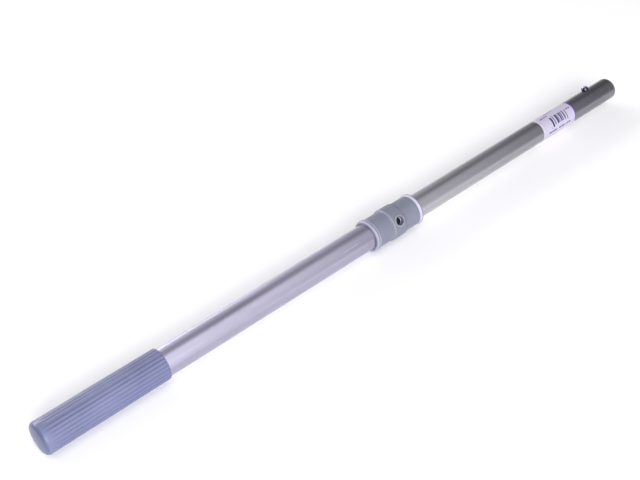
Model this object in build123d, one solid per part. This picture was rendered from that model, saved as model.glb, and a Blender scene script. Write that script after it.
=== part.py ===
from build123d import *
from math import acos, cos, degrees, radians, sin, sqrt
import os

# Telescoping window cleaning pole, in millimetres, fully extended and locked.
# X runs along the pole from the butt of the grip to the tip, and Z is up. The origin is under the
# middle of the pole, level with the lowest point of the collar, on which the pole lies.

# Pole and tubes
total_length = 734.0
outer_tube_od = 25.4
inner_tube_od = 24.0
tube_wall = 0.64
tube_break = 0.2            # edges of a cut tube, deburred

# Stations along the pole, measured from the butt of the grip
grip_length = 114.0
collar_start = 347.0
collar_length = 61.5
lock_station = 378.2
outer_tube_end = 394.0
inner_tube_start = 256.0
label_start = 602.0
label_length = 56.0
tip_button_station = 698.0

# Directions in which the two buttons point, turned from straight up towards +Y
lock_angle = -53.0
tip_button_angle = 31.0

# Grip
grip_radius = 14.3
grip_end_wall = 3.0
grip_corner = 4.0
grip_dome = 1.0
rib_count = 26
groove_radius = 1.15
groove_depth = 0.6
groove_start = 9.0

# Collar
bead_radius = 15.9
bead_width = 5.5
bead_round = 1.8
flare_length = 3.2
waist_radius = 14.8
ring_radius = 16.0
ring_width = 14.2
step_length = 0.5
window_radius = 4.4
boss_radius = 6.5
boss_height = 0.3
collar_lip = 1.5
lip_round = 0.9
lip_radius = 12.15
bush_radius = 13.4

# Collar pins
pin_radius = 1.5
pin_gap = 0.3
pin_station = 361.5
pin_angles = (134.0, 208.0)

# Buttons, their holes and their springs
button_radius = 3.75
button_neck_radius = 3.5
button_hole_radius = 3.85
lock_hole_radius = 4.1
foot_radius = 4.7
foot_thickness = 1.2
tip_foot_top = 10.2
tip_head_bottom = 12.3
tip_head_top = 16.4
tip_dome_radius = 4.2
lock_foot_top = 9.2
lock_head_bottom = 10.0
lock_head_top = 11.9
lock_dome_radius = 8.0
strip_thickness = 0.5
strip_width = 5.0
spring_reach = 42.0
spring_bend = 2.5
strip_clearance = 0.1

# Plugs, glide ring and its screw
butt_flange = 1.5
plug_depth = 12.0
plug_wall = 2.5
tip_flange = 3.0
tip_corner = 1.1
tip_dome = 0.4
shoulder = 2.0
ring_clearance = 0.03
glide_width = 8.0
neck_radius = 7.9
neck_clearance = 0.1
washer_radius = 10.5
washer_thickness = 1.2
screw_radius = 2.0
screw_head_radius = 4.0
screw_head_height = 2.6
screw_depth = 12.0
slot_depth = 1.4
slot_length = 4.4
slot_width = 0.9
label_thickness = 0.15
running_clearance = 0.06

# Derived places
butt = -total_length / 2
axis_height = ring_radius
outer_radius = outer_tube_od / 2
outer_bore = outer_radius - tube_wall
inner_radius = inner_tube_od / 2
inner_bore = inner_radius - tube_wall
grip_rim = butt + grip_length
collar_left = butt + collar_start
collar_right = collar_left + collar_length
lock_x = butt + lock_station
tip_button_x = butt + tip_button_station
tube_left = butt + grip_end_wall + butt_flange
tube_right = butt + outer_tube_end
inner_left = butt + inner_tube_start
tip = butt + total_length
inner_right = tip - tip_flange
neck_length = glide_width + 2 * neck_clearance


# A closed outline of (distance along the pole, radius) edges, turned about the pole's axis
def turned(*edges):
    profile = Plane.XZ * make_face(edges)
    return Pos(0, 0, axis_height) * revolve(profile, Axis.X)


# A plain ring between two distances along the pole and two radii
def band(left, right, inside, outside):
    corners = [(left, inside), (right, inside), (right, outside), (left, outside)]
    return turned(Polyline(*corners, close=True))


# A plane square to the pole's side at a distance along it; its own Z points out of the pole
def side_plane(x, angle):
    outward = Vector(0, sin(radians(angle)), cos(radians(angle)))
    return Plane(origin=(x, 0, axis_height), x_dir=(1, 0, 0), z_dir=outward)


# A round bar standing out of the pole's side, between two distances from the pole's axis
def radial_bar(x, angle, radius, low, high):
    upright = Cylinder(radius, high - low, align=(Align.CENTER, Align.CENTER, Align.MIN))
    upright = Pos(0, 0, low) * upright
    return side_plane(x, angle) * upright


# A tube with its four end edges broken
def cut_tube(left, right, inside, outside):
    tube = band(left, right, inside, outside)
    return chamfer(tube.edges().filter_by(GeomType.CIRCLE), tube_break)


# The domed and rounded end of a plug or grip: edges from the axis out to the given radius.
# `way` is 1 when the end faces -X and -1 when it faces +X.
def domed_end(x, way, radius, dome, corner):
    face_radius = radius - corner
    crown = (x, 0)
    shoulder_point = (x + way * dome, face_radius)
    middle = (x + way * dome / 4, face_radius / 2)
    side = (x + way * (dome + corner), radius)
    bulge = corner * (1 - sqrt(0.5))
    corner_point = (x + way * (dome + bulge), radius - bulge)
    face = ThreePointArc(crown, middle, shoulder_point)
    rounding = ThreePointArc(shoulder_point, corner_point, side)
    return face, rounding, side


# Vinyl sleeve with a closed, domed end and a groove between each pair of its long ribs
def hand_grip():
    dome, corner, side = domed_end(butt, 1, grip_radius, grip_dome, grip_corner)
    rim = Polyline(
        side, (grip_rim, grip_radius), (grip_rim, outer_radius),
        (butt + grip_end_wall, outer_radius), (butt + grip_end_wall, 0), (butt, 0),
    )
    grip = turned(dome, corner, rim)
    groove_centre = grip_radius - groove_depth + groove_radius
    groove_length = grip_length - groove_start
    cutter = Cylinder(groove_radius, groove_length, rotation=(0, 90, 0))
    cutter += Pos(-groove_length / 2) * Sphere(groove_radius)
    middle = butt + groove_start + groove_length / 2
    for number in range(rib_count):
        place = Pos(middle, 0, axis_height) * Rot(360 * number / rib_count, 0, 0) * Pos(0, 0, groove_centre)
        grip -= place * cutter
    return grip


# Disc plug that covers the lower tube's edge inside the closed grip
def butt_plug():
    flange_left = butt + grip_end_wall
    plug_right = tube_left + plug_depth
    outline = Polyline(
        (flange_left, 0), (flange_left, outer_radius), (tube_left, outer_radius),
        (tube_left, outer_bore), (plug_right, outer_bore), (plug_right, outer_bore - plug_wall),
        (tube_left + plug_wall, outer_bore - plug_wall), (tube_left + plug_wall, 0), close=True,
    )
    return turned(outline)


# Lower tube, punched under the collar's window and for the collar's pins
def outer_tube():
    tube = cut_tube(tube_left, tube_right, outer_bore, outer_radius)
    tube -= radial_bar(lock_x, lock_angle, lock_hole_radius, 0, outer_radius + 1)
    for angle in pin_angles:
        tube -= radial_bar(butt + pin_station, angle, pin_radius, 0, outer_radius + 1)
    return tube


# Collar's outline: rounded bead, waist, middle ring, waist and flared lip, over a stepped bore
def collar_outline():
    ring_left = lock_x - ring_width / 2
    ring_right = lock_x + ring_width / 2
    left_corner = (collar_left, bead_radius - bead_round)
    left_crown = (collar_left + bead_round, bead_radius)
    right_crown = (collar_right - lip_round, bead_radius)
    right_corner = (collar_right, bead_radius - lip_round)
    along = Polyline(
        left_crown,
        (collar_left + bead_width - step_length, bead_radius),
        (collar_left + bead_width, waist_radius),
        (ring_left - step_length, waist_radius),
        (ring_left, ring_radius),
        (ring_right, ring_radius),
        (ring_right + step_length, waist_radius),
        (collar_right - lip_round - flare_length, waist_radius),
        right_crown,
    )
    inside = Polyline(
        right_corner,
        (collar_right, lip_radius),
        (collar_right - collar_lip, lip_radius),
        (collar_right - collar_lip, bush_radius),
        (tube_right, bush_radius),
        (tube_right, outer_radius),
        (collar_left, outer_radius),
        left_corner,
    )
    left_bulge = bead_round * (1 - sqrt(0.5))
    right_bulge = lip_round * (1 - sqrt(0.5))
    left_round = ThreePointArc(
        left_corner, (collar_left + left_bulge, bead_radius - left_bulge), left_crown
    )
    right_round = ThreePointArc(
        right_crown, (collar_right - right_bulge, bead_radius - right_bulge), right_corner
    )
    return left_round, along, right_round, inside


# Moulded collar with a raised boss around the window over the lock button
def collar_body():
    collar = turned(*collar_outline())
    boss = radial_bar(lock_x, lock_angle, boss_radius, outer_radius + 1, ring_radius + boss_height)
    rounded = band(collar_left, collar_right, outer_radius, ring_radius + boss_height)
    collar += boss & rounded
    collar -= radial_bar(lock_x, lock_angle, window_radius, 0, ring_radius + 2)
    for angle in pin_angles:
        collar -= radial_bar(butt + pin_station, angle, pin_radius, 0, ring_radius)
    return collar


# Headless drive pins that hold the collar on the lower tube, away from the window
def collar_pins():
    bottom = outer_bore + pin_gap
    pins = [radial_bar(butt + pin_station, a, pin_radius, bottom, waist_radius) for a in pin_angles]
    return Compound(children=pins)


# Bush in the collar's mouth, between the lower tube's end and the collar's lip
def guide_bush():
    return band(tube_right, collar_right - collar_lip, inner_radius + running_clearance, bush_radius)


# Upper tube with a hole for each button, both a little larger than the button
def inner_tube():
    tube = cut_tube(inner_left, inner_right, inner_bore, inner_radius)
    tube -= radial_bar(lock_x, lock_angle, button_hole_radius, 0, inner_radius + 1)
    tube -= radial_bar(tip_button_x, tip_button_angle, button_hole_radius, 0, inner_radius + 1)
    return tube


# Wrapped stock label
def stock_label():
    left = butt + label_start
    return band(left, left + label_length, inner_radius, inner_radius + label_thickness)


# Domed plug that closes the tip
def tip_plug():
    dome, corner, side = domed_end(tip, -1, inner_radius, tip_dome, tip_corner)
    insert_left = inner_right - plug_depth
    inside = Polyline(
        side, (inner_right, inner_radius), (inner_right, inner_bore), (insert_left, inner_bore),
        (insert_left, inner_bore - plug_wall), (inner_right, inner_bore - plug_wall),
        (inner_right, 0), (tip, 0),
    )
    return turned(dome, corner, inside)


# Spring button, turned about its own axis: a foot that stays inside the tube, a neck through the
# wall and a head with a domed top. Heights are distances from the pole's axis.
def button(x, angle, foot_top, head_bottom, head_top, dome_radius):
    foot_bottom = foot_top - foot_thickness
    dome_centre = head_top - dome_radius
    dome_base = dome_centre + sqrt(dome_radius**2 - button_radius**2)
    dome_edge = degrees(acos(button_radius / dome_radius))
    dome = CenterArc((0, dome_centre), dome_radius, dome_edge, 90 - dome_edge)
    side = Polyline(
        (button_radius, dome_base), (button_radius, head_bottom), (button_neck_radius, head_bottom),
        (button_neck_radius, foot_top), (foot_radius, foot_top), (foot_radius, foot_bottom),
        (0, foot_bottom), (0, head_top),
    )
    return side_plane(x, angle) * revolve(Plane.XZ * make_face([dome, side]), Axis.Z)


def tip_button():
    head = (tip_head_bottom, tip_head_top, tip_dome_radius)
    return button(tip_button_x, tip_button_angle, tip_foot_top, *head)


def lock_button():
    head = (lock_head_bottom, lock_head_top, lock_dome_radius)
    return button(lock_x, lock_angle, lock_foot_top, *head)


# Folded leaf spring: one arm lies under a button's foot, the other bears on the far wall
def leaf_spring(x, angle, foot_top):
    near = foot_top - foot_thickness - strip_thickness / 2
    far = sqrt(inner_bore**2 - (strip_width / 2) ** 2) - strip_thickness / 2 - strip_clearance
    path = FilletPolyline(
        (x + foot_radius, near), (x - foot_radius - 2, near), (x - spring_reach, -far / 3), (x - 4, -far),
        radius=[spring_bend, spring_bend],
    )
    strip = extrude(trace(path, strip_thickness), strip_width / 2, both=True)
    across = side_plane(0, angle)
    upright = Plane(origin=across.origin, x_dir=across.x_dir, z_dir=-across.y_dir)
    return upright * strip


def tip_button_spring():
    return leaf_spring(tip_button_x, tip_button_angle, tip_foot_top)


def lock_button_spring():
    return leaf_spring(lock_x, lock_angle, lock_foot_top)


# Plug in the upper tube's lower end, with a neck for the glide ring and a hole for its screw
def lower_end_plug():
    neck_left = inner_left - shoulder - neck_length
    right = inner_left + plug_depth
    outline = Polyline(
        (neck_left, screw_radius), (neck_left, neck_radius), (inner_left - shoulder, neck_radius),
        (inner_left - shoulder, inner_radius - tube_break), (inner_left, inner_radius - tube_break),
        (inner_left, inner_bore), (right, inner_bore), (right, 0),
        (neck_left + screw_depth, 0), (neck_left + screw_depth, screw_radius), close=True,
    )
    return turned(outline)


# Ring that runs in the lower tube and turns on the plug's neck
def glide_ring():
    left = inner_left - shoulder - neck_length + neck_clearance
    return band(left, left + glide_width, neck_radius + neck_clearance, outer_bore - ring_clearance)


def retaining_washer():
    right = inner_left - shoulder - neck_length
    return band(right - washer_thickness, right, screw_radius, washer_radius)


# Pan-head screw with a cross recess
def retaining_screw():
    head_right = inner_left - shoulder - neck_length - washer_thickness
    end = inner_left - shoulder - neck_length + screw_depth
    head_left = head_right - screw_head_height
    outline = Polyline(
        (head_left, 0), (head_left, screw_head_radius - 1), (head_left + 1, screw_head_radius),
        (head_right, screw_head_radius), (head_right, screw_radius), (end, screw_radius), (end, 0), close=True,
    )
    screw = turned(outline)
    for turn in (0, 90):
        slot = Box(2 * slot_depth, slot_length, slot_width)
        screw -= Pos(head_left, 0, axis_height) * Rot(turn, 0, 0) * slot
    return screw


sub_parts = {
    "hand_grip": hand_grip,
    "butt_plug": butt_plug,
    "outer_tube": outer_tube,
    "collar_body": collar_body,
    "collar_pins": collar_pins,
    "guide_bush": guide_bush,
    "inner_tube": inner_tube,
    "stock_label": stock_label,
    "tip_plug": tip_plug,
    "tip_button": tip_button,
    "tip_button_spring": tip_button_spring,
    "lock_button": lock_button,
    "lock_button_spring": lock_button_spring,
    "lower_end_plug": lower_end_plug,
    "glide_ring": glide_ring,
    "retaining_washer": retaining_washer,
    "retaining_screw": retaining_screw,
}

os.makedirs("parts", exist_ok=True)
for name, make in sub_parts.items():
    export_step(make(), f"parts/{name}.step")
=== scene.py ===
import math

import bmesh
import bpy
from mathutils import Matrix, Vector


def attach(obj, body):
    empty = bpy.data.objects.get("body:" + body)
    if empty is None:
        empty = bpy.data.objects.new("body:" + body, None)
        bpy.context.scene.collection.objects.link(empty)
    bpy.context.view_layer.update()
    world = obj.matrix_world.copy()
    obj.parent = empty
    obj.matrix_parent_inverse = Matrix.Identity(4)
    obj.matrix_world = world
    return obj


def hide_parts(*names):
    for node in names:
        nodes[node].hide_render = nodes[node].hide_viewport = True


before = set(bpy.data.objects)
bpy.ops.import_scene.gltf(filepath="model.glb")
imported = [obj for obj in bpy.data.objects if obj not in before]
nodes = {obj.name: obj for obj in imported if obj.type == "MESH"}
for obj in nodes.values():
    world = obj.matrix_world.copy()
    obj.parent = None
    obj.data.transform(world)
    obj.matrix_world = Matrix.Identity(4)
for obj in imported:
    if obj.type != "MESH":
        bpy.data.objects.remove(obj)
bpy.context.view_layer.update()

mm = 0.001
mmPerMetre = 1000.0
pole = {"butt": -367.0, "axisHeight": 16.0}  # x of the grip's end and height of the pole's centre line


def clamp01(value):
    return max(0.0, min(1.0, value))


def smooth(value):
    t = clamp01(value)
    return t * t * (3 - 2 * t)


def polePoint(along, angle, radius):
    # along is measured from the butt in mm, angle in radians from straight up towards +Y
    return Vector((
        (pole["butt"] + along) * mm,
        radius * math.sin(angle) * mm,
        (pole["axisHeight"] + radius * math.cos(angle)) * mm,
    ))


def linkMesh(name, bm):
    mesh = bpy.data.meshes.new(name)
    bm.to_mesh(mesh)
    bm.free()
    obj = bpy.data.objects.new(name, mesh)
    bpy.context.scene.collection.objects.link(obj)
    return obj


def skinRings(name, rings, segments, closeStart=None, loop=False):
    # rings is a list of functions angle -> (along, radius); neighbours are joined with quads
    bm = bmesh.new()
    rows = []
    for ring in rings:
        row = []
        for i in range(segments):
            angle = 2 * math.pi * i / segments
            along, radius = ring(angle)
            row.append(bm.verts.new(polePoint(along, angle, radius)))
        rows.append(row)
    pairs = list(zip(rows, rows[1:]))
    if loop:
        pairs.append((rows[-1], rows[0]))
    for low, high in pairs:
        for i in range(segments):
            j = (i + 1) % segments
            bm.faces.new((low[i], low[j], high[j], high[i]))
    if closeStart is not None:
        centre = bm.verts.new(polePoint(closeStart, 0, 0))
        for i in range(segments):
            bm.faces.new((rows[0][i], rows[0][(i + 1) % segments], centre))
    bmesh.ops.recalc_face_normals(bm, faces=bm.faces)
    obj = linkMesh(name, bm)
    obj.data.shade_smooth()
    return obj


# the ribbed vinyl sleeve, in mm
grip = {
    "length": 114.0,
    "radius": 14.3,
    "bore": 12.72,
    "boreDepth": 6.0,      # how deep the open end is hollow
    "ribs": 26,
    "grooveDepth": 0.46,
    "ribSharpness": 0.50,  # below 1 widens the ribs and narrows the grooves
    "fadeStart": 4.0,      # grooves begin here and reach their full depth at fadeEnd
    "fadeEnd": 13.0,
    "corner": 4.0,
    "dome": 1.0,
    "swell": 0.06,         # slow waves where the sleeve stretches over the tube
    "swellPace": 0.11,
    "settle": 0.12,        # how much it slims from settleStart to the rim
    "settleStart": 70,
    "settleLength": 44,
    "rimRound": 0.55,
    "rimGrooves": 0.9,     # share of the groove depth that reaches the rim
    "rimLip": 0.12,
    "rimChamfer": 0.15,
    "segmentsPerRib": 14,
    "faceRings": 8,
    "cornerRings": 12,
    "sleeveRings": 60,
    "rimRings": 6,
}


def gripGroove(angle, depth):
    wave = 0.5 - 0.5 * math.cos(angle * grip["ribs"])
    return depth * (1 - wave ** grip["ribSharpness"])


def groovesAt(along):
    return smooth((along - grip["fadeStart"]) / (grip["fadeEnd"] - grip["fadeStart"]))


def sleeveRadius(along):
    waves = grip["swell"] * (1 - math.cos(along * grip["swellPace"]))
    settled = smooth((along - grip["settleStart"]) / grip["settleLength"])
    return grip["radius"] - waves - grip["settle"] * settled


def makeGrip():
    g = grip
    faceRadius = g["radius"] - g["corner"]
    rings = []

    def addRing(along, base, depth):
        rings.append(lambda a, x=along, r=base, d=depth: (x, r - gripGroove(a, d)))

    for step in range(1, g["faceRings"] + 1):  # slightly domed end face
        r = faceRadius * step / g["faceRings"]
        addRing(g["dome"] * (r / faceRadius) ** 2, r, 0)
    for step in range(1, g["cornerRings"] + 1):  # round corner
        turn = math.pi / 2 * step / g["cornerRings"]
        along = g["dome"] + g["corner"] * (1 - math.cos(turn))
        addRing(along, faceRadius + g["corner"] * math.sin(turn), g["grooveDepth"] * groovesAt(along))
    start = g["dome"] + g["corner"]
    end = g["length"] - g["rimRound"]
    for step in range(1, g["sleeveRings"] + 1):
        along = start + (end - start) * step / g["sleeveRings"]
        addRing(along, sleeveRadius(along), g["grooveDepth"] * groovesAt(along))
    rimRadius = g["radius"] - g["settle"]
    for step in range(1, g["rimRings"] + 1):  # rounded rim, which the grooves scallop
        turn = math.pi / 2 * step / g["rimRings"]
        along = end + g["rimRound"] * math.sin(turn)
        addRing(along, rimRadius - g["rimRound"] * (1 - math.cos(turn)), g["grooveDepth"] * g["rimGrooves"])
    addRing(g["length"], g["bore"] + g["rimLip"], 0)
    addRing(g["length"] - g["rimChamfer"], g["bore"], 0)
    addRing(g["length"] - g["boreDepth"], g["bore"], 0)
    return skinRings("gripSleeve", rings, g["ribs"] * g["segmentsPerRib"], closeStart=0.0)


gripSleeve = makeGrip()
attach(gripSleeve, "handle_section")
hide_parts("hand_grip")
print("grip sleeve:", len(gripSleeve.data.polygons), "faces")


# the lock collar, in mm: stations from the butt, radii from the centre line, the window's angle in degrees
collar = {
    "left": 347.0,
    "right": 408.5,
    "bore": 12.72,
    "beadRadius": 15.9,
    "beadWidth": 5.5,
    "beadRound": 1.8,
    "creaseStart": 1.6,    # the bead falls to the waist from this far before its end to creaseEnd after it
    "creaseLength": 1.9,
    "creaseEnd": 0.3,
    "waistRadius": 14.8,
    "ringRadius": 16.0,
    "ringWidth": 14.2,
    "ringApproach": 0.9,   # a soft slope up to the ring, and a sharp step down behind it
    "ringSlope": 1.0,
    "ringInset": 0.1,
    "ringStep": 0.35,
    "ringFoot": 0.25,
    "flare": 3.2,
    "lipRound": 0.9,
    "lipRadius": 12.15,
    "lipDepth": 1.5,
    "mouthRadius": 13.2,   # the lip's face ends here and turns into the mouth
    "mouthTurn": (0.25, 12.35),
    "mouthThroat": 0.6,
    "window": 378.2,
    "windowAngle": -53.0,
    "windowRadius": 4.4,
    "bossRadius": 6.5,
    "bossHeight": 0.3,
    "bossSlope": 0.5,
    "skinDepth": 0.3,      # the boss lifts only what lies within this of the waist
    "segments": 240,
}
collarSteps = {"bead": 12, "crease": 10, "waist": 8, "slope": 8, "ring": 40, "flare": 10, "lip": 8}


def collarProfile():
    c, n = collar, collarSteps
    ringLeft = c["window"] - c["ringWidth"] / 2
    ringRight = c["window"] + c["ringWidth"] / 2
    rise = c["beadRadius"] - c["waistRadius"]
    climb = c["ringRadius"] - c["waistRadius"]
    inset = c["ringInset"]
    points = [(c["left"], c["bore"])]
    for step in range(n["bead"] + 1):  # the bead's face and crown
        turn = math.pi / 2 * step / n["bead"]
        points.append((
            c["left"] + c["beadRound"] * (1 - math.cos(turn)),
            c["beadRadius"] - c["beadRound"] * (1 - math.sin(turn)),
        ))
    crease = c["left"] + c["beadWidth"]
    for step in range(1, n["crease"] + 1):
        t = step / n["crease"]
        points.append((crease - c["creaseStart"] + c["creaseLength"] * t, c["beadRadius"] - rise * smooth(t)))
    waistLength = ringLeft - c["ringApproach"] - crease - c["creaseEnd"]
    for step in range(1, n["waist"] + 1):
        points.append((crease + c["creaseEnd"] + waistLength * step / n["waist"], c["waistRadius"]))
    for step in range(1, n["slope"] + 1):
        t = step / n["slope"]
        along = ringLeft - c["ringApproach"] + c["ringSlope"] * t
        points.append((along, c["waistRadius"] + climb * smooth(t)))
    ringLength = ringRight - inset - ringLeft - inset
    for step in range(1, n["ring"] + 1):
        points.append((ringLeft + inset + ringLength * step / n["ring"], c["ringRadius"]))
    for step in range(1, n["slope"] + 1):
        t = step / n["slope"]
        points.append((ringRight - inset + c["ringStep"] * t, c["ringRadius"] - climb * smooth(t)))
    flareStart = c["right"] - c["lipRound"] - c["flare"]
    farLength = flareStart - ringRight - c["ringFoot"]
    for step in range(1, n["waist"] + 1):
        points.append((ringRight + c["ringFoot"] + farLength * step / n["waist"], c["waistRadius"]))
    for step in range(1, n["flare"] + 1):
        t = step / n["flare"]
        points.append((flareStart + c["flare"] * t, c["waistRadius"] + rise * smooth(t)))
    for step in range(1, n["lip"] + 1):
        turn = math.pi / 2 * step / n["lip"]
        points.append((
            c["right"] - c["lipRound"] * (1 - math.sin(turn)),
            c["beadRadius"] - c["lipRound"] * (1 - math.cos(turn)),
        ))
    turnDepth, turnRadius = c["mouthTurn"]
    points += [
        (c["right"], c["mouthRadius"]),
        (c["right"] - turnDepth, turnRadius),
        (c["right"] - c["mouthThroat"], c["lipRadius"]),
        (c["right"] - c["lipDepth"], c["lipRadius"]),
        (c["right"] - c["lipDepth"], c["bore"]),
    ]
    return points


def bossRise(along, angle, radius):
    c = collar
    if radius < c["waistRadius"] - c["skinDepth"]:
        return radius
    offset = (math.degrees(angle) - c["windowAngle"] + 180) % 360 - 180
    across = math.radians(offset) * c["ringRadius"]
    distance = math.hypot(along - c["window"], across)
    share = smooth((c["bossRadius"] + c["bossSlope"] / 2 - distance) / c["bossSlope"])
    return radius + (c["ringRadius"] + c["bossHeight"] - radius) * share if share > 0 else radius


# height above the centre line, and how much wider than the window the cut is there: its outer edge is rounded
windowCut = [(8.0, 0.0), (15.55, 0.0), (15.9, 0.04), (16.15, 0.16), (16.4, 0.42), (17.6, 1.6)]
windowSides = 72


def makeWindowPunch():
    angle = math.radians(collar["windowAngle"])
    outward = Vector((0, math.sin(angle), math.cos(angle)))
    side = Vector((1, 0, 0))
    up = outward.cross(side)
    centre = Vector(((pole["butt"] + collar["window"]) * mm, 0, pole["axisHeight"] * mm))
    bm = bmesh.new()
    rows = []
    for height, extra in windowCut:
        radius = collar["windowRadius"] + extra
        row = []
        for i in range(windowSides):
            t = 2 * math.pi * i / windowSides
            spoke = side * math.cos(t) + up * math.sin(t)
            row.append(bm.verts.new(centre + outward * height * mm + spoke * radius * mm))
        rows.append(row)
    for low, high in zip(rows, rows[1:]):
        for i in range(windowSides):
            j = (i + 1) % windowSides
            bm.faces.new((low[i], low[j], high[j], high[i]))
    bm.faces.new(rows[0])
    bm.faces.new(rows[-1])
    bmesh.ops.recalc_face_normals(bm, faces=bm.faces)
    return linkMesh("windowPunch", bm)


def makeCollar():
    rings = [
        (lambda a, x=along, r=radius: (x, bossRise(x, a, r))) for along, radius in collarProfile()
    ]
    body = skinRings("collarShell", rings, collar["segments"], loop=True)
    punch = makeWindowPunch()
    cut = body.modifiers.new("window", "BOOLEAN")
    cut.operation = "DIFFERENCE"
    cut.solver = "EXACT"
    cut.object = punch
    depsgraph = bpy.context.evaluated_depsgraph_get()
    cutMesh = bpy.data.meshes.new_from_object(body.evaluated_get(depsgraph))
    body.modifiers.clear()
    body.data = cutMesh
    cutMesh.shade_smooth()
    bpy.data.objects.remove(punch)
    return body


collarShell = makeCollar()
edgeSplit = collarShell.modifiers.new("crispWindow", "EDGE_SPLIT")
edgeSplit.split_angle = math.radians(38)  # keeps the window and the lips crisp
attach(collarShell, "handle_section")
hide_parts("collar_body")
print("collar shell:", len(collarShell.data.polygons), "faces")


class Wires:
    # a short way to add and join nodes in one tree
    def __init__(self, tree):
        self.tree = tree

    def add(self, kind, **settings):
        node = self.tree.nodes.new(kind)
        for name, value in settings.items():
            setattr(node, name, value)
        return node

    def join(self, source, target):
        if hasattr(source, "is_output"):
            self.tree.links.new(source, target)
        else:
            target.default_value = source

    def math(self, operation, a, b=None, c=None, clamp=False):
        node = self.add("ShaderNodeMath", operation=operation, use_clamp=clamp)
        for socket, value in zip(node.inputs, (a, b, c)):
            if value is not None:
                self.join(value, socket)
        return node.outputs[0]

    def mix(self, factor, a, b, blend="MIX"):
        node = self.add("ShaderNodeMix", data_type="RGBA", blend_type=blend)
        self.join(factor, node.inputs[0])
        self.join(a, node.inputs[6])
        self.join(b, node.inputs[7])
        return node.outputs[2]

    def ramp(self, value, low, high, outLow=0.0, outHigh=1.0, smoothStep=True):
        curve = "SMOOTHSTEP" if smoothStep else "LINEAR"
        node = self.add("ShaderNodeMapRange", interpolation_type=curve)
        for socket, item in zip(node.inputs, (value, low, high, outLow, outHigh)):
            self.join(item, socket)
        return node.outputs[0]

    def noise(self, vector, scale, detail=3.0, roughness=0.55, distortion=0.0):
        node = self.add("ShaderNodeTexNoise")
        self.join(vector, node.inputs["Vector"])
        node.inputs["Scale"].default_value = scale
        node.inputs["Detail"].default_value = detail
        node.inputs["Roughness"].default_value = roughness
        node.inputs["Distortion"].default_value = distortion
        return node.outputs[0]

    def levels(self, value, stops):
        # a smooth curve through (place, level) stops
        node = self.add("ShaderNodeValToRGB")
        node.color_ramp.interpolation = "B_SPLINE"
        while len(node.color_ramp.elements) > 1:
            node.color_ramp.elements.remove(node.color_ramp.elements[0])
        first = node.color_ramp.elements[0]
        first.position = stops[0][0]
        first.color = (stops[0][1],) * 3 + (1,)
        for position, level in stops[1:]:
            node.color_ramp.elements.new(position).color = (level,) * 3 + (1,)
        self.join(value, node.inputs[0])
        return node.outputs[0]

    def stretch(self, vector, scale):
        node = self.add("ShaderNodeMapping")
        self.join(vector, node.inputs["Vector"])
        node.inputs["Scale"].default_value = scale
        return node.outputs[0]


def newGroup(name, inputs, outputs):
    group = bpy.data.node_groups.new(name, "ShaderNodeTree")
    for socketName, kind, value in inputs:
        socket = group.interface.new_socket(socketName, in_out="INPUT", socket_type=kind)
        if value is not None:
            socket.default_value = value
    for socketName, kind in outputs:
        group.interface.new_socket(socketName, in_out="OUTPUT", socket_type=kind)
    wires = Wires(group)
    return group, wires, wires.add("NodeGroupInput"), wires.add("NodeGroupOutput")


floatSocket = "NodeSocketFloat"
colorSocket = "NodeSocketColor"
vectorSocket = "NodeSocketVector"


unrolledRadius = 12.0  # about the tubes' radius, so patterns keep their size round the pole


def makePoleCoordinates():
    # mm along the pole from the butt, degrees round it, and mm from its centre line
    group, w, _, out = newGroup("poleCoordinates", [], [
        ("Along", floatSocket), ("Around", floatSocket), ("Radius", floatSocket), ("Unrolled", vectorSocket),
    ])
    place = w.add("ShaderNodeTexCoord").outputs["Object"]
    split = w.add("ShaderNodeSeparateXYZ")
    w.join(place, split.inputs[0])
    along = w.math("MULTIPLY_ADD", split.outputs[0], mmPerMetre, -pole["butt"])
    y = w.math("MULTIPLY", split.outputs[1], mmPerMetre)
    z = w.math("MULTIPLY_ADD", split.outputs[2], mmPerMetre, -pole["axisHeight"])
    turn = w.math("ARCTAN2", y, z)
    around = w.math("DEGREES", turn)
    radius = w.math("SQRT", w.math("ADD", w.math("MULTIPLY", y, y), w.math("MULTIPLY", z, z)))
    # a seamless unrolled place: x along, y and z on a circle
    unrolled = w.add("ShaderNodeCombineXYZ")
    w.join(along, unrolled.inputs[0])
    w.join(w.math("MULTIPLY", w.math("SINE", turn), unrolledRadius), unrolled.inputs[1])
    w.join(w.math("MULTIPLY", w.math("COSINE", turn), unrolledRadius), unrolled.inputs[2])
    for name, value in (("Along", along), ("Around", around), ("Radius", radius)):
        w.join(value, out.inputs[name])
    w.join(unrolled.outputs[0], out.inputs["Unrolled"])
    return group


edgeLook = {"samples": 6, "flat": 0.995, "sharp": 0.90, "chipScale": 900.0, "chipRange": (0.35, 0.62)}


def makeEdgeMask():
    # 1 on edges and corners, broken up by noise, 0 on open faces
    group, w, given, out = newGroup("edgeMask", [
        ("Width mm", floatSocket, 0.4), ("Breakup", floatSocket, 0.5),
    ], [("Mask", floatSocket)])
    bevel = w.add("ShaderNodeBevel", samples=edgeLook["samples"])
    w.join(w.math("MULTIPLY", given.outputs["Width mm"], mm), bevel.inputs["Radius"])
    normal = w.add("ShaderNodeNewGeometry").outputs["Normal"]
    dot = w.add("ShaderNodeVectorMath", operation="DOT_PRODUCT")
    w.join(bevel.outputs[0], dot.inputs[0])
    w.join(normal, dot.inputs[1])
    edge = w.ramp(dot.outputs["Value"], edgeLook["flat"], edgeLook["sharp"])
    place = w.add("ShaderNodeTexCoord").outputs["Object"]
    broken = w.ramp(w.noise(place, edgeLook["chipScale"], 4.0), *edgeLook["chipRange"])
    lost = w.math("MULTIPLY", given.outputs["Breakup"], w.math("SUBTRACT", 1.0, broken))
    kept = w.math("SUBTRACT", 1.0, lost)
    w.join(w.math("MULTIPLY", edge, kept, clamp=True), out.inputs["Mask"])
    return group


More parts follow.
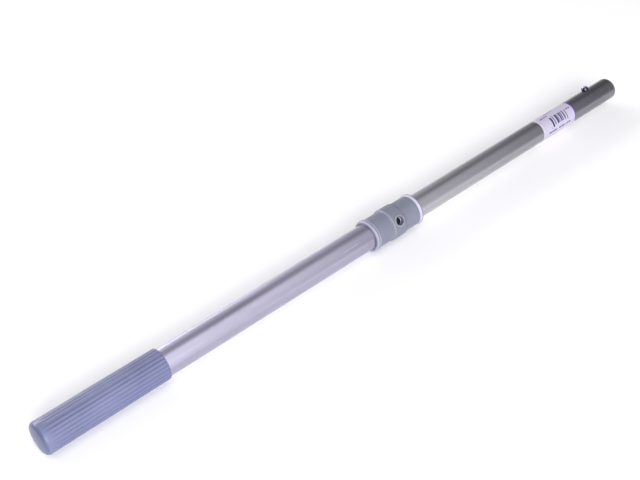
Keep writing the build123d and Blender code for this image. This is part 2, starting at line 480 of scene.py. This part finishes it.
drawnLook = {
    # how each pattern is stretched along and across the unrolled tube
    "fine": (0.012, 9.0, 9.0),
    "broad": (0.006, 0.9, 0.9),
    "cloud": (0.05, 0.12, 0.12),
    "scratch": (0.22, 4.2, 4.2),
    "grainScale": 14.0,
    "scratchRange": (0.66, 0.74),
    "smudgeRange": (0.45, 0.75),
    # how much each one changes the tone, the roughness and the height
    "lineTone": 0.20, "streakTone": 0.16, "smudgeTone": 0.10, "scratchTone": 0.16,
    "lineRough": 0.10, "smudgeRough": 0.10, "scratchRough": 0.10,
    "grainHeight": 0.15, "scratchHeight": 0.4,
}


def makeDrawnMetal():
    # fine drawing lines along the tube, long faint streaks, a few scratches and soft handling marks
    group, w, given, out = newGroup("drawnMetal", [
        ("Color", colorSocket, (0.5, 0.5, 0.5, 1)), ("Line Depth", floatSocket, 0.5),
        ("Handling", floatSocket, 0.5), ("Roughness", floatSocket, 0.32),
    ], [("Color", colorSocket), ("Roughness", floatSocket), ("Height", floatSocket)])
    coords = w.add("ShaderNodeGroup", node_tree=poleCoordinates)
    unrolled = coords.outputs["Unrolled"]
    look = drawnLook
    fine = w.noise(w.stretch(unrolled, look["fine"]), 1.0, 4.0, 0.7)
    broad = w.noise(w.stretch(unrolled, look["broad"]), 1.0, 3.0, 0.5)
    cloud = w.noise(w.stretch(unrolled, look["cloud"]), 1.0, 4.0, 0.6)
    grain = w.noise(unrolled, look["grainScale"], 2.0, 0.5)
    scratchField = w.noise(w.stretch(unrolled, look["scratch"]), 1.0, 2.0, 0.4, 0.6)
    scratches = w.math("MULTIPLY", w.ramp(scratchField, *look["scratchRange"]), given.outputs["Handling"])
    smudge = w.math("MULTIPLY", w.ramp(cloud, *look["smudgeRange"]), given.outputs["Handling"])
    lines = w.math("SUBTRACT", fine, 0.5)
    streaks = w.math("SUBTRACT", broad, 0.5)
    lineTone = w.math("MULTIPLY", lines, look["lineTone"])
    streakTone = w.math("MULTIPLY", streaks, look["streakTone"])
    tone = w.math("ADD", 1.0, w.math("ADD", lineTone, streakTone))
    tone = w.math("SUBTRACT", tone, w.math("MULTIPLY", smudge, look["smudgeTone"]))
    tone = w.math("ADD", tone, w.math("MULTIPLY", scratches, look["scratchTone"]))
    toned = w.add("ShaderNodeVectorMath", operation="SCALE")
    w.join(given.outputs["Color"], toned.inputs[0])
    w.join(tone, toned.inputs["Scale"])
    w.join(toned.outputs[0], out.inputs["Color"])
    rough = w.math("ADD", given.outputs["Roughness"], w.math("MULTIPLY", lines, look["lineRough"]))
    rough = w.math("ADD", rough, w.math("MULTIPLY", smudge, look["smudgeRough"]))
    rough = w.math("SUBTRACT", rough, w.math("MULTIPLY", scratches, look["scratchRough"]), clamp=True)
    w.join(rough, out.inputs["Roughness"])
    relief = w.math("ADD", lines, w.math("MULTIPLY", grain, look["grainHeight"]))
    height = w.math("MULTIPLY", relief, given.outputs["Line Depth"])
    height = w.math("SUBTRACT", height, w.math("MULTIPLY", scratches, look["scratchHeight"]))
    w.join(height, out.inputs["Height"])
    return group


ageLook = {
    "patchScale": 55.0, "dustPatches": (0.4, 0.75), "dustFacing": (0.2, 1.0),
    "rubScale": 130.0, "rubRange": (0.55, 0.75),
    "grainTone": 0.6, "grainRough": 0.14, "rubPolish": 0.7, "dustRough": 0.4,
}


def makeSurfaceAge():
    # moulding speckle, uneven tone, faint rubbed patches and a little dust that settles on top
    group, w, given, out = newGroup("surfaceAge", [
        ("Color", colorSocket, (0.5, 0.5, 0.5, 1)), ("Variation", floatSocket, 0.1),
        ("Dust", floatSocket, 0.1), ("Dust Color", colorSocket, (0.6, 0.58, 0.55, 1)),
        ("Grain Size mm", floatSocket, 0.4), ("Roughness", floatSocket, 0.5),
    ], [("Color", colorSocket), ("Roughness", floatSocket), ("Height", floatSocket)])
    place = w.add("ShaderNodeTexCoord").outputs["Object"]
    scaled = w.add("ShaderNodeVectorMath", operation="SCALE")
    w.join(place, scaled.inputs[0])
    w.join(w.math("DIVIDE", mmPerMetre, given.outputs["Grain Size mm"]), scaled.inputs["Scale"])
    grain = w.noise(scaled.outputs[0], 0.6, 2.0, 0.6)
    patch = w.noise(place, ageLook["patchScale"], 4.0, 0.6)
    rub = w.ramp(w.noise(place, ageLook["rubScale"], 5.0, 0.65), *ageLook["rubRange"])
    split = w.add("ShaderNodeSeparateXYZ")
    w.join(w.add("ShaderNodeNewGeometry").outputs["Normal"], split.inputs[0])
    top = w.ramp(split.outputs[2], *ageLook["dustFacing"])
    dusty = w.math("MULTIPLY", top, w.ramp(patch, *ageLook["dustPatches"]))
    settled = w.math("MULTIPLY", dusty, given.outputs["Dust"])
    grainSwing = w.math("SUBTRACT", grain, 0.5)
    patchSwing = w.math("SUBTRACT", patch, 0.5)
    swing = w.math("ADD", patchSwing, w.math("MULTIPLY", grainSwing, ageLook["grainTone"]))
    amount = w.math("MULTIPLY", given.outputs["Variation"], 2.0)
    tone = w.math("ADD", 1.0, w.math("MULTIPLY", swing, amount))
    toned = w.add("ShaderNodeVectorMath", operation="SCALE")
    w.join(given.outputs["Color"], toned.inputs[0])
    w.join(tone, toned.inputs["Scale"])
    w.join(w.mix(settled, toned.outputs[0], given.outputs["Dust Color"]), out.inputs["Color"])
    polish = w.math("MULTIPLY", rub, w.math("MULTIPLY", given.outputs["Variation"], ageLook["rubPolish"]))
    rough = w.math("ADD", given.outputs["Roughness"], w.math("MULTIPLY", grainSwing, ageLook["grainRough"]))
    rough = w.math("SUBTRACT", rough, polish)
    rough = w.math("ADD", rough, w.math("MULTIPLY", settled, ageLook["dustRough"]), clamp=True)
    w.join(rough, out.inputs["Roughness"])
    w.join(grain, out.inputs["Height"])
    return group


stripEdge = {"mm": 0.12, "degrees": 0.8}  # half the width of a printed mark's soft edge


def makePrintedStrip():
    # one printed mark on the wrapped label: a soft-edged patch in mm along and degrees round
    group, w, given, out = newGroup("printedStrip", [
        ("Along", floatSocket, 0.0), ("Around", floatSocket, 0.0),
        ("From mm", floatSocket, 0.0), ("To mm", floatSocket, 1.0),
        ("From deg", floatSocket, -10.0), ("To deg", floatSocket, 10.0),
        ("Strength", floatSocket, 1.0),
    ], [("Mask", floatSocket)])

    def within(place, low, high, soft):
        fromLow = w.math("SUBTRACT", given.outputs[place], given.outputs[low])
        toHigh = w.math("SUBTRACT", given.outputs[high], given.outputs[place])
        return w.ramp(w.math("MINIMUM", fromLow, toHigh), -soft, soft)

    lengthwise = within("Along", "From mm", "To mm", stripEdge["mm"])
    spanwise = within("Around", "From deg", "To deg", stripEdge["degrees"])
    both = w.math("MULTIPLY", lengthwise, spanwise)
    w.join(w.math("MULTIPLY", both, given.outputs["Strength"], clamp=True), out.inputs["Mask"])
    return group


poleCoordinates = makePoleCoordinates()
edgeMask = makeEdgeMask()
drawnMetal = makeDrawnMetal()
surfaceAge = makeSurfaceAge()
printedStrip = makePrintedStrip()
print("shader groups ready")


def newMaterial(name, roughness=0.5, metallic=0.0):
    material = bpy.data.materials.new(name)
    material.use_nodes = True
    material.node_tree.nodes.clear()
    w = Wires(material.node_tree)
    shader = w.add("ShaderNodeBsdfPrincipled")
    shader.inputs["Roughness"].default_value = roughness
    shader.inputs["Metallic"].default_value = metallic
    surface = w.add("ShaderNodeOutputMaterial")
    w.join(shader.outputs[0], surface.inputs[0])
    return material, w, shader


def addBump(w, shader, height, strength, distance):
    bump = w.add("ShaderNodeBump")
    bump.inputs["Strength"].default_value = strength
    bump.inputs["Distance"].default_value = distance
    w.join(height, bump.inputs["Height"])
    w.join(bump.outputs[0], shader.inputs["Normal"])


def useGroup(w, group, **values):
    node = w.add("ShaderNodeGroup", node_tree=group)
    for name, value in values.items():
        w.join(value, node.inputs[name.replace("_", " ")])
    return node


gripFinish = {
    "color": (0.138, 0.150, 0.268, 1),
    "grooveShadeColor": (0.105, 0.116, 0.222, 1),
    "crownColor": (0.158, 0.168, 0.295, 1),
    "dustColor": (0.30, 0.30, 0.40, 1),
    "roughness": 0.34,
    "specular": 0.42,
    # between which distances from the centre line the groove's painted shade turns into the rib, and the rib
    # is rubbed
    "grooveToRib": (13.75, 14.15),
    "rubbedCrown": (13.9, 14.28),
    "handledStretch": (0.05, 0.3, 0.3),
}


def gripVinyl():
    material, w, shader = newMaterial("gripVinyl")
    coords = useGroup(w, poleCoordinates)
    # the crown of each rib is rubbed paler, and the grooves are painted darker as shade
    depth = w.ramp(coords.outputs["Radius"], *gripFinish["grooveToRib"])
    tinted = w.mix(depth, gripFinish["grooveShadeColor"], gripFinish["color"])
    handled = w.noise(w.stretch(coords.outputs["Unrolled"], gripFinish["handledStretch"]), 1.0, 4.0, 0.6)
    crown = w.ramp(coords.outputs["Radius"], *gripFinish["rubbedCrown"])
    rubbed = w.math("MULTIPLY", crown, w.ramp(handled, 0.35, 0.7, 0.15, 0.85))
    tinted = w.mix(rubbed, tinted, gripFinish["crownColor"])
    age = useGroup(w, surfaceAge, Color=tinted, Variation=0.07, Dust=0.10, Dust_Color=gripFinish["dustColor"],
                   Grain_Size_mm=0.5, Roughness=gripFinish["roughness"])
    w.join(age.outputs["Color"], shader.inputs["Base Color"])
    w.join(age.outputs["Roughness"], shader.inputs["Roughness"])
    shader.inputs["Specular IOR Level"].default_value = gripFinish["specular"]
    addBump(w, shader, age.outputs["Height"], 0.25, 0.06 * mm)
    return material


# a long bright scratch and a small rusty stain: from mm, to mm, from deg, to deg, strength, colour
tubeMarks = [
    (309.0, 327.0, -46.0, -44.9, 0.85, (0.88, 0.87, 0.93, 1)),
    (242.2, 243.7, -99.0, -94.0, 0.55, (0.50, 0.22, 0.10, 1)),
]
# each tube's colour is darkened towards the tip as a painted shade
tubeFinish = {
    "lower": {"color": (0.450, 0.432, 0.545, 1), "roughness": 0.33, "lineDepth": 0.6, "handling": 0.55,
              "paintedShadeTowardsTip": (300.0, 395.0, 0.80), "marks": tubeMarks},
    "upper": {"color": (0.515, 0.505, 0.550, 1), "roughness": 0.31, "lineDepth": 0.5, "handling": 0.35,
              "paintedShadeTowardsTip": (430.0, 700.0, 0.50), "marks": []},
    "edgeColor": (0.78, 0.78, 0.80, 1),
    "anisotropy": 0.35,
}


def tubeAluminium(name, look):
    material, w, shader = newMaterial(name, metallic=1.0)
    metal = useGroup(w, drawnMetal, Color=look["color"], Line_Depth=look["lineDepth"],
                     Handling=look["handling"], Roughness=look["roughness"])
    coords = useGroup(w, poleCoordinates)
    start, end, level = look["paintedShadeTowardsTip"]  # painted shade: the colour darkens from start to end, in mm from the butt
    fade = w.ramp(coords.outputs["Along"], start, end, 1.0, level, smoothStep=False)
    toned = w.mix(1.0, metal.outputs["Color"], fade, "MULTIPLY")
    for fromMm, toMm, fromDeg, toDeg, strength, tint in look["marks"]:
        mark = useGroup(w, printedStrip, Along=coords.outputs["Along"], Around=coords.outputs["Around"],
                        From_mm=fromMm, To_mm=toMm, From_deg=fromDeg, To_deg=toDeg, Strength=strength)
        toned = w.mix(mark.outputs["Mask"], toned, tint)
    edge = useGroup(w, edgeMask, Width_mm=0.3, Breakup=0.4)
    bright = w.mix(edge.outputs["Mask"], toned, tubeFinish["edgeColor"])
    w.join(bright, shader.inputs["Base Color"])
    w.join(metal.outputs["Roughness"], shader.inputs["Roughness"])
    shader.inputs["Anisotropic"].default_value = tubeFinish["anisotropy"]
    addBump(w, shader, metal.outputs["Height"], 0.30, 0.04 * mm)
    return material


collarFinish = {
    "color": (0.166, 0.178, 0.232, 1),
    "wornColor": (0.30, 0.30, 0.38, 1),
    "footDarkColor": (0.060, 0.062, 0.090, 1),
    "dustColor": (0.27, 0.27, 0.31, 1),
    "roughness": 0.44,
    "specular": 0.45,
    "edgeWear": 0.55,
    "rimWear": 0.40,
    "rimFootDarkening": 0.45,
    "outerSkin": (13.4, 14.4),  # the painted highlight and shadow bands and the rim only show further out than this
    # painted highlights on the moulded lips and the ring's edge, and a painted shadow in the step: from mm,
    # to mm, strength, colour
    "paintedLightBands": [
        (346.8, 348.5, 0.50, (0.50, 0.48, 0.62, 1)),
        (349.9, 351.3, 0.45, (0.50, 0.48, 0.62, 1)),
        (370.2, 371.3, 0.25, (0.50, 0.48, 0.62, 1)),
        (384.75, 385.45, 0.80, (0.045, 0.045, 0.070, 1)),
        (404.8, 407.1, 0.80, (0.50, 0.48, 0.62, 1)),
    ],
}


allRound = 400  # degrees, more than a full turn either way


def collarPlastic():
    material, w, shader = newMaterial("collarPlastic")
    age = useGroup(w, surfaceAge, Color=collarFinish["color"], Variation=0.10, Dust=0.12,
                   Dust_Color=collarFinish["dustColor"], Grain_Size_mm=0.35,
                   Roughness=collarFinish["roughness"])
    edge = useGroup(w, edgeMask, Width_mm=0.7, Breakup=0.35)
    coords = useGroup(w, poleCoordinates)
    worn = w.math("MULTIPLY", edge.outputs["Mask"], collarFinish["edgeWear"])
    color = w.mix(worn, age.outputs["Color"], collarFinish["wornColor"])
    outside = w.ramp(coords.outputs["Radius"], *collarFinish["outerSkin"])
    # these bands paint highlights on the lips and ring edge, and a shadow in the step
    for fromMm, toMm, strength, tint in collarFinish["paintedLightBands"]:
        paintedBand = useGroup(w, printedStrip, Along=coords.outputs["Along"], From_mm=fromMm, To_mm=toMm,
                        From_deg=-allRound, To_deg=allRound, Strength=strength)
        color = w.mix(w.math("MULTIPLY", paintedBand.outputs["Mask"], outside), color, tint)
    # the boss round the window is rubbed paler, and darker where it meets the ring
    sideways = w.math("SUBTRACT", coords.outputs["Around"], collar["windowAngle"])
    sideways = w.math("MULTIPLY", sideways, math.radians(1) * collar["ringRadius"])
    lengthways = w.math("SUBTRACT", coords.outputs["Along"], collar["window"])
    away = w.math("SQRT", w.math("ADD", w.math("MULTIPLY", sideways, sideways),
                                 w.math("MULTIPLY", lengthways, lengthways)))
    rim = w.ramp(away, collar["bossRadius"] - 0.2, collar["bossRadius"] - 0.7)
    rubbed = w.math("MULTIPLY", rim, collarFinish["rimWear"])
    color = w.mix(w.math("MULTIPLY", rubbed, outside), color, collarFinish["wornColor"])
    fromFoot = w.math("ABSOLUTE", w.math("SUBTRACT", away, collar["bossRadius"] + 0.15))
    darkPattern = w.math("MULTIPLY", w.ramp(fromFoot, 0.45, 0.1), outside)
    color = w.mix(w.math("MULTIPLY", darkPattern, collarFinish["rimFootDarkening"]), color, collarFinish["footDarkColor"])
    w.join(color, shader.inputs["Base Color"])
    w.join(age.outputs["Roughness"], shader.inputs["Roughness"])
    shader.inputs["Specular IOR Level"].default_value = collarFinish["specular"]
    addBump(w, shader, age.outputs["Height"], 0.35, 0.07 * mm)
    return material


smallFinish = {
    "tipPlastic": {"color": (0.095, 0.095, 0.10, 1), "roughness": 0.34, "worn": (0.06, 0.06, 0.06, 1)},
    "innerPlastic": {"color": (0.72, 0.71, 0.66, 1), "roughness": 0.45, "worn": (0.8, 0.8, 0.8, 1)},
    "lockBlack": {"color": (0.006, 0.006, 0.012, 1), "roughness": 0.40, "worn": (0.03, 0.03, 0.05, 1)},
    "pinSteel": {"color": (0.55, 0.55, 0.57, 1), "roughness": 0.30, "worn": (0.92, 0.92, 0.92, 1)},
}


def plainPlastic(name):
    look = smallFinish[name]
    material, w, shader = newMaterial(name)
    age = useGroup(w, surfaceAge, Color=look["color"], Variation=0.08, Dust=0.06,
                   Grain_Size_mm=0.4, Roughness=look["roughness"])
    edge = useGroup(w, edgeMask, Width_mm=0.35, Breakup=0.5)
    wear = w.math("MULTIPLY", edge.outputs["Mask"], 0.25)
    w.join(w.mix(wear, age.outputs["Color"], look["worn"]), shader.inputs["Base Color"])
    w.join(age.outputs["Roughness"], shader.inputs["Roughness"])
    addBump(w, shader, age.outputs["Height"], 0.3, 0.05 * mm)
    return material


def brightMetal(name):
    look = smallFinish[name]
    material, w, shader = newMaterial(name, metallic=1.0)
    age = useGroup(w, surfaceAge, Color=look["color"], Variation=0.08, Dust=0.04,
                   Grain_Size_mm=0.6, Roughness=look["roughness"])
    edge = useGroup(w, edgeMask, Width_mm=0.25, Breakup=0.5)
    wear = w.math("MULTIPLY", edge.outputs["Mask"], 0.4)
    w.join(w.mix(wear, age.outputs["Color"], look["worn"]), shader.inputs["Base Color"])
    w.join(age.outputs["Roughness"], shader.inputs["Roughness"])
    addBump(w, shader, age.outputs["Height"], 0.15, 0.03 * mm)
    return material


buttonFinish = {
    "crown": (0.78, 0.74, 0.95, 1),
    # the side's colour is a painted shade and dark reflection
    "side": (0.06, 0.055, 0.09, 1),
    "roughness": 0.10,
    "plated": (15.15, 15.85),  # from the painted dark side to the bright crown, in mm from the centre line
    "ragged": 0.6,             # how far the painted dark side's edge wanders, in mm
}


def buttonChrome():
    # plating bright on the crown, with painted shade and dark reflection down the side
    material, w, shader = newMaterial("buttonChrome", metallic=1.0)
    coords = useGroup(w, poleCoordinates)
    darkPattern = w.noise(w.add("ShaderNodeTexCoord").outputs["Object"], 700.0, 4.0)
    wander = w.math("MULTIPLY", w.math("SUBTRACT", darkPattern, 0.5), buttonFinish["ragged"])
    level = w.math("ADD", coords.outputs["Radius"], wander)
    crown = w.ramp(level, *buttonFinish["plated"])
    tinted = w.mix(crown, buttonFinish["side"], buttonFinish["crown"])
    age = useGroup(w, surfaceAge, Color=tinted, Variation=0.06, Dust=0.03,
                   Grain_Size_mm=0.6, Roughness=buttonFinish["roughness"])
    w.join(age.outputs["Color"], shader.inputs["Base Color"])
    w.join(age.outputs["Roughness"], shader.inputs["Roughness"])
    addBump(w, shader, age.outputs["Height"], 0.12, 0.02 * mm)
    return material


labelFinish = {
    "paper": (0.475, 0.440, 0.565, 1),
    "ink": (0.020, 0.020, 0.110, 1),
    "greyInk": (0.050, 0.055, 0.075, 1),
    "edgeInk": (0.070, 0.030, 0.50, 1),
    "rubbed": (0.40, 0.385, 0.46, 1),
    "bareEdge": (0.72, 0.72, 0.62, 1),
    "roughness": 0.38,
    "start": 602.0,
    "end": 658.0,
    "edgeLine": (1.7, 1.2),  # the printed line's soft start, in mm before the label's end
    "bareWidth": (1.2, 0.7),  # where the bare paper at its start fades out
}

# each mark is (from mm, to mm, from deg, to deg, strength)
labelBars = [
    (618.8, 621.4, -68, -14, 1.0),
    (626.9, 629.3, -61, -13, 1.0),
    (633.1, 635.2, -61, -13, 1.0),
    (639.4, 641.1, -61, -13, 1.0),
]
labelGreyBars = [
    (623.2, 624.4, -61, -12, 1.0),
    (629.3, 631.6, -61, -13, 0.60),
    (636.0, 637.4, -61, -13, 0.95),
    (643.6, 644.9, -68, -13, 0.85),
]


def dashRow(start, end, around, width, pattern, strength):
    marks = []
    along = start
    turn = 0
    while along < end:
        dash, gap = pattern[turn % len(pattern)]
        stop = min(along + dash, end)
        marks.append((along, stop, around - width / 2, around + width / 2, strength))
        along += dash + gap
        turn += 1
    return marks


labelDashes = (
    dashRow(611.0, 625.0, -87, 8, [(4.2, 0.9), (2.6, 0.7)], 1.0)
    + dashRow(628.0, 639.0, -87, 8, [(3.4, 0.8), (4.6, 0.8)], 1.0)
    + dashRow(641.0, 649.0, -87, 8, [(3.0, 0.8)], 1.0)
    + dashRow(647.0, 655.0, -18, 5, [(4.4, 0.7), (2.2, 0.7)], 0.95)
    + dashRow(608.0, 620.5, 5, 6, [(5.2, 0.9), (2.8, 0.8)], 0.95)
    + dashRow(620.0, 635.0, 25, 6, [(4.4, 0.8), (3.0, 0.8)], 0.95)
    + [(616.2, 618.0, -74, -68, 0.6)]
)


def printMarks(w, coords, color, marks, ink):
    for fromMm, toMm, fromDeg, toDeg, strength in marks:
        strip = useGroup(w, printedStrip, Along=coords.outputs["Along"], Around=coords.outputs["Around"],
                         From_mm=fromMm, To_mm=toMm, From_deg=fromDeg, To_deg=toDeg, Strength=strength)
        color = w.mix(strip.outputs["Mask"], color, ink)
    return color


def labelPaper():
    material, w, shader = newMaterial("labelPaper")
    coords = useGroup(w, poleCoordinates)
    scuff = w.noise(w.stretch(coords.outputs["Unrolled"], (0.4, 0.9, 0.9)), 1.0, 5.0, 0.65)
    color = w.mix(w.ramp(scuff, 0.58, 0.80, 0.0, 0.35), labelFinish["paper"], labelFinish["rubbed"])
    color = printMarks(w, coords, color, labelBars, labelFinish["ink"])
    color = printMarks(w, coords, color, labelGreyBars, labelFinish["greyInk"])
    color = printMarks(w, coords, color, labelDashes, labelFinish["ink"])
    lineLow, lineHigh = labelFinish["edgeLine"]
    edgeLine = w.ramp(coords.outputs["Along"], labelFinish["end"] - lineLow, labelFinish["end"] - lineHigh)
    color = w.mix(edgeLine, color, labelFinish["edgeInk"])
    bareLow, bareHigh = labelFinish["bareWidth"]
    bare = w.ramp(coords.outputs["Along"], labelFinish["start"] + bareLow, labelFinish["start"] + bareHigh)
    color = w.mix(w.math("MULTIPLY", bare, 0.6), color, labelFinish["bareEdge"])
    age = useGroup(w, surfaceAge, Color=color, Variation=0.04, Dust=0.03, Grain_Size_mm=0.5,
                   Roughness=labelFinish["roughness"])
    w.join(age.outputs["Color"], shader.inputs["Base Color"])
    w.join(age.outputs["Roughness"], shader.inputs["Roughness"])
    addBump(w, shader, w.math("ADD", age.outputs["Height"], w.math("MULTIPLY", scuff, 2.0)), 0.2, 0.04 * mm)
    return material


materials = {
    "hand_grip": gripVinyl(),
    "outer_tube": tubeAluminium("lowerAluminium", tubeFinish["lower"]),
    "inner_tube": tubeAluminium("upperAluminium", tubeFinish["upper"]),
    "collar_body": collarPlastic(),
    "stock_label": labelPaper(),
    "tip_plug": plainPlastic("tipPlastic"),
    "butt_plug": plainPlastic("innerPlastic"),
    "collar_pins": brightMetal("pinSteel"),
    "tip_button": buttonChrome(),
    "lock_button": plainPlastic("lockBlack"),
}
for shared, base in (
    ("guide_bush", "butt_plug"), ("lower_end_plug", "butt_plug"), ("glide_ring", "butt_plug"),
    ("tip_button_spring", "collar_pins"), ("lock_button_spring", "collar_pins"),
    ("retaining_washer", "collar_pins"), ("retaining_screw", "collar_pins"),
):
    materials[shared] = materials[base]

for name, material in materials.items():
    target = {"hand_grip": gripSleeve, "collar_body": collarShell}.get(name, nodes[name])
    for part in {target, nodes[name]}:
        part.data.materials.clear()
        part.data.materials.append(material)
print("finishes on", len(materials), "parts")


floorLook = {
    "size": 7.0,
    "drop": 0.0002,  # just below the pole, so that they don't share a face
    "color": (0.92, 0.92, 0.925, 1),
    "patchColor": (0.84, 0.84, 0.85, 1),
    "patchShare": 0.05,
    "roughness": 0.85,
}


def makeFloor():
    half = floorLook["size"] / 2
    bm = bmesh.new()
    corners = ((-1, -1), (1, -1), (1, 1), (-1, 1))
    bm.faces.new([bm.verts.new((x * half, y * half, -floorLook["drop"])) for x, y in corners])
    floor = linkMesh("floor", bm)
    material, w, shader = newMaterial("paleFloor", roughness=floorLook["roughness"])
    place = w.add("ShaderNodeTexCoord").outputs["Object"]
    patchy = w.noise(place, 3.0, 2.0)
    share = w.ramp(patchy, 0.3, 0.7, 0.0, floorLook["patchShare"])
    w.join(w.mix(share, floorLook["color"], floorLook["patchColor"]), shader.inputs["Base Color"])
    floor.data.materials.append(material)


def softLight(name, place, aim, size, power):
    light = bpy.data.lights.new(name, "AREA")
    light.shape = "RECTANGLE"
    light.size, light.size_y = size
    light.energy = power
    obj = bpy.data.objects.new(name, light)
    obj.location = place
    obj.rotation_euler = (Vector(aim) - Vector(place)).to_track_quat("-Z", "Y").to_euler()
    bpy.context.scene.collection.objects.link(obj)


makeFloor()
# places in metres, power in watts
lights = {
    "frontSoft": {"place": (-0.9, -1.7, 0.9), "aim": (-0.2, 0, 0), "size": (1.8, 1.1), "power": 44},
    "backSoft": {"place": (-0.5, 1.9, 0.7), "aim": (-0.1, 0, 0), "size": (1.8, 0.7), "power": 32},
    "overheadSoft": {"place": (-0.3, -0.9, 1.9), "aim": (-0.1, 0, 0), "size": (2.4, 1.8), "power": 12},
}
for name, look in lights.items():
    softLight(name, **look)

# the room's brightness from the front (0) over the top (0.5) to the back (1),
# and how it changes from the grip's side (0) to the tip's (1)
studio = {
    "frontToBack": [
        (0.0, 1.40), (0.20, 1.45), (0.33, 1.30), (0.46, 0.82),
        (0.60, 0.46), (0.75, 0.46), (0.90, 0.80), (1.0, 1.15),
    ],
    "towardsTip": [
        (0.0, 0.25), (0.30, 0.45), (0.55, 1.05), (0.65, 1.15), (0.71, 0.95), (0.775, 0.66), (0.82, 0.58),
        (0.86, 0.40), (0.90, 0.20), (1.0, 0.10),
    ],
    "tint": (1.0, 0.985, 1.03, 1),
    "strength": 1.0,
}


def makeWorld():
    world = bpy.data.worlds.new("studio")
    world.use_nodes = True
    world.node_tree.nodes.clear()
    w = Wires(world.node_tree)
    direction = w.add("ShaderNodeTexCoord").outputs["Generated"]
    split = w.add("ShaderNodeSeparateXYZ")
    w.join(direction, split.inputs[0])
    y, z = split.outputs[1], split.outputs[2]
    length = w.math("SQRT", w.math("ADD", w.math("MULTIPLY", y, y), w.math("MULTIPLY", z, z)))
    length = w.math("MAXIMUM", length, 0.001)  # never 0, because it divides
    front = w.math("MULTIPLY_ADD", w.math("DIVIDE", y, length), 0.5, 0.5)
    around = w.levels(front, studio["frontToBack"])
    tipward = w.levels(w.math("MULTIPLY_ADD", split.outputs[0], 0.5, 0.5), studio["towardsTip"])
    color = w.mix(1.0, studio["tint"], w.math("MULTIPLY", around, tipward), "MULTIPLY")
    background = w.add("ShaderNodeBackground")
    w.join(color, background.inputs["Color"])
    background.inputs["Strength"].default_value = studio["strength"]
    surface = w.add("ShaderNodeOutputWorld")
    w.join(background.outputs[0], surface.inputs[0])
    bpy.context.scene.world = world


makeWorld()

cameraSetup = {
    "place": (-0.5178, -0.4720, 0.5901),
    "azimuth": -42.914,
    "elevation": 40.165,
    "lens": 54.0,
    "sensor": 36.0,
    "clipStart": 0.01,
}


def makeCamera():
    azimuth = math.radians(cameraSetup["azimuth"])
    elevation = math.radians(cameraSetup["elevation"])
    back = Vector((
        math.sin(azimuth) * math.cos(elevation),
        -math.cos(azimuth) * math.cos(elevation),
        math.sin(elevation),
    ))
    data = bpy.data.cameras.new("camera")
    data.lens = cameraSetup["lens"]
    data.sensor_width = cameraSetup["sensor"]
    data.clip_start = cameraSetup["clipStart"]
    camera = bpy.data.objects.new("camera", data)
    camera.location = cameraSetup["place"]
    camera.rotation_euler = (-back).to_track_quat("-Z", "Y").to_euler()
    bpy.context.scene.collection.objects.link(camera)
    bpy.context.scene.camera = camera


makeCamera()
bpy.context.scene.view_settings.view_transform = "Standard"
print("floor, light and camera ready")
